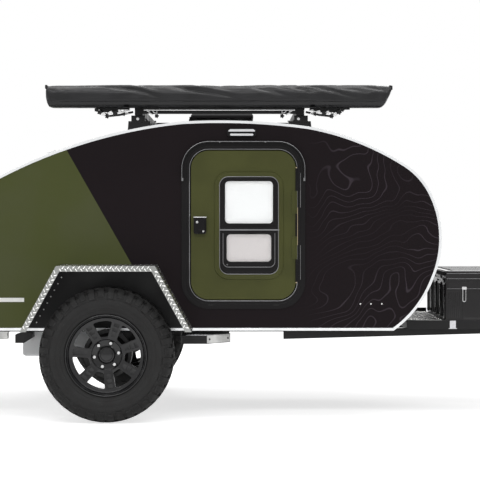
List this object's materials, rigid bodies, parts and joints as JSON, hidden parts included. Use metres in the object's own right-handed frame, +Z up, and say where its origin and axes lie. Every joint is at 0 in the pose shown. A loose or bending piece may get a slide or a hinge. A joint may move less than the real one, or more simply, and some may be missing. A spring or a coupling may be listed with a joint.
{
  "type": "off-road teardrop trailer",
  "caption": "Teardrop camping trailer with side doors, rear galley hatch, roof rack with bagged awning, treadplate fenders, tongue box and tongue jack.",
  "frame": {"origin": "on the ground, in the middle of the trailer's overall length, on its centreline", "axes": "+X ahead to the coupler, +Y to the trailer's left, +Z up"},
  "size_m": [4.03, 2, 1.8353],
  "materials": {
    "olive_paint": "gloss",
    "two_tone_paint": "gloss",
    "black_paint": "satin",
    "powder_black": "textured",
    "aluminium": "satin",
    "tread_plate": "bright diamond tread",
    "black_plastic": "matte",
    "clear_glass": "polished",
    "birch_ply": "satin",
    "tyre_rubber": "matte",
    "rim_black": "gloss",
    "drum_iron": "rough",
    "tank_plastic": "satin",
    "vinyl": "creased vinyl",
    "bed_fabric": "woven",
    "zinc": "zinc plated",
    "lamp_lens": "clear",
    "red_lens": "gloss"
  },
  "bodies": {
    "trailer": {"roof_shell": "black_paint", "rear_panel": "olive_paint", "hatch_hinge": "powder_black", "edge_trims": "aluminium", "floor_panel": "birch_ply", "galley_bulkhead": "birch_ply", "galley_cabinet": "birch_ply", "mattress": "bed_fabric", "porch_lights": "lamp_lens", "chassis_rails": "powder_black", "tongue_tubes": "powder_black", "crossmembers": "powder_black", "coupler": "powder_black", "jack_housing": "zinc", "box_tray": "powder_black", "tongue_box_body": "powder_black", "outriggers": "powder_black", "axle_beam": "powder_black", "torsion_arms": "powder_black", "fender_backings": "black_plastic", "water_tank": "tank_plastic", "stabiliser_brackets": "zinc", "rack_feet": "powder_black", "rack_crossbars": "powder_black", "rack_side_rails": "powder_black", "awning_bag": "vinyl", "roof_vent_base": "black_plastic", "tail_lights": "red_lens", "side_wall_right": "two_tone_paint", "side_wall_left": "two_tone_paint", "door_frame_right": "powder_black", "door_frame_left": "powder_black", "fender_right": "tread_plate", "fender_left": "tread_plate"},
    "hatch": {"hatch_panel": "olive_paint"},
    "tongue_box_lid": {"tongue_box_lid": "powder_black"},
    "roof_vent_lid": {"roof_vent_lid": "black_plastic"},
    "jack_leg": {"jack_leg": "zinc"},
    "wheel_right": {"tyre_right": "tyre_rubber", "rim_right": "rim_black", "hub_right": "drum_iron"},
    "door_right": {"door_panel_right": "olive_paint", "door_window_right": "black_plastic", "door_glass_right": "clear_glass", "door_latch_right": "black_plastic"},
    "stabiliser_right": {"stabiliser_leg_right": "zinc"},
    "wheel_left": {"tyre_left": "tyre_rubber", "rim_left": "rim_black", "hub_left": "drum_iron"},
    "door_left": {"door_panel_left": "olive_paint", "door_window_left": "black_plastic", "door_glass_left": "clear_glass", "door_latch_left": "black_plastic"},
    "stabiliser_left": {"stabiliser_leg_left": "zinc"}
  },
  "joints": [
    {"name": "wheel_right_spin", "type": "hinge", "parent": "trailer", "child": "wheel_right", "pos_m": [-0.8, -0.8725, 0.3665], "axis": [0, 1, 0], "continuous": true},
    {"name": "wheel_left_spin", "type": "hinge", "parent": "trailer", "child": "wheel_left", "pos_m": [-0.8, 0.8725, 0.3665], "axis": [0, 1, 0], "continuous": true},
    {"name": "door_right_hinge", "type": "hinge", "parent": "trailer", "child": "door_right", "pos_m": [0.232, -0.733, 1.068], "axis": [0, 0, 1], "range_deg": [0, 90]},
    {"name": "door_left_hinge", "type": "hinge", "parent": "trailer", "child": "door_left", "pos_m": [0.232, 0.733, 1.068], "axis": [0, 0, -1], "range_deg": [0, 90]},
    {"name": "hatch_hinge_turn", "type": "hinge", "parent": "trailer", "child": "hatch", "pos_m": [-1.144, 0, 1.4646], "axis": [0, 1, 0], "range_deg": [0, 75]},
    {"name": "tongue_box_lid_hinge", "type": "hinge", "parent": "trailer", "child": "tongue_box_lid", "pos_m": [1.086, 0, 0.756], "axis": [0, -1, 0], "range_deg": [0, 80]},
    {"name": "roof_vent_lid_hinge", "type": "hinge", "parent": "trailer", "child": "roof_vent_lid", "pos_m": [-0.373, 0, 1.6845], "axis": [0, -1, 0], "range_deg": [0, 60]},
    {"name": "jack_leg_slide", "type": "slide", "parent": "trailer", "child": "jack_leg", "axis": [0, 0, 1], "range_m": [0, 0.28]},
    {"name": "stabiliser_right_swing", "type": "hinge", "parent": "trailer", "child": "stabiliser_right", "pos_m": [-1.41, -0.56, 0.445], "axis": [0, -1, 0], "range_deg": [0, 85]},
    {"name": "stabiliser_left_swing", "type": "hinge", "parent": "trailer", "child": "stabiliser_left", "pos_m": [-1.41, 0.56, 0.445], "axis": [0, -1, 0], "range_deg": [0, 85]}
  ]
}
